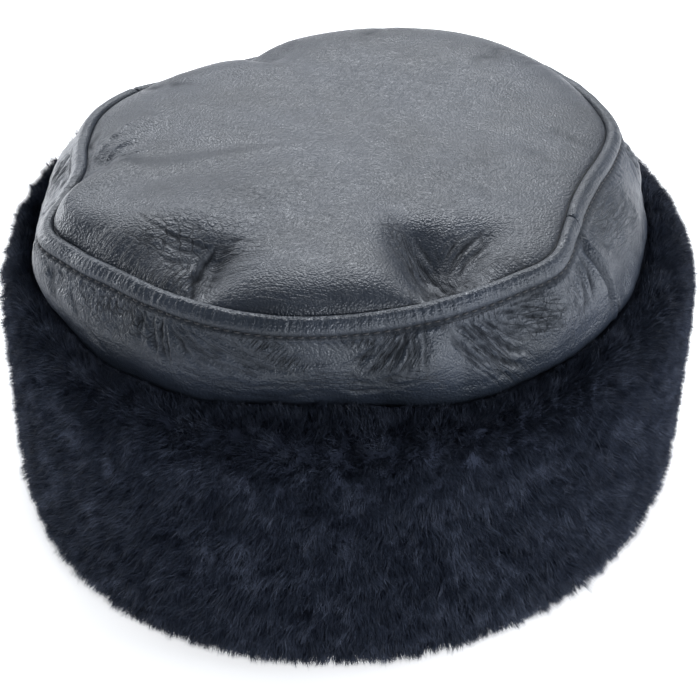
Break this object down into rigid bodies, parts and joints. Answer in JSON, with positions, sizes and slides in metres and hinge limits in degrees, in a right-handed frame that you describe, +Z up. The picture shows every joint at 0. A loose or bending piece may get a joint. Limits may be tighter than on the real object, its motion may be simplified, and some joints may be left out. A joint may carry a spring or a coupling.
{
  "type": "kubanka",
  "caption": "Low round hat with a soft dented leather crown, a topstitched welt seam and a deep band of thick sheared fur.",
  "frame": {"origin": "centre of the footprint, on the surface the rim stands on", "axes": "+Z up, the height and the shortest extent; +Y from front to back, the longest extent; the front of the hat faces -Y"},
  "size_m": [0.2308, 0.2464, 0.1258],
  "materials": {
    "leather_top": "soft sheen, fine grain",
    "leather_side": "soft sheen, fine grain and wrinkles",
    "fur": "dense sheared pile, blue-black"
  },
  "bodies": {
    "root": {"crown_top": "leather_top", "crown_side_front": "leather_side", "crown_side_back": "leather_side", "fur_band": "fur"}
  },
  "joints": []
}
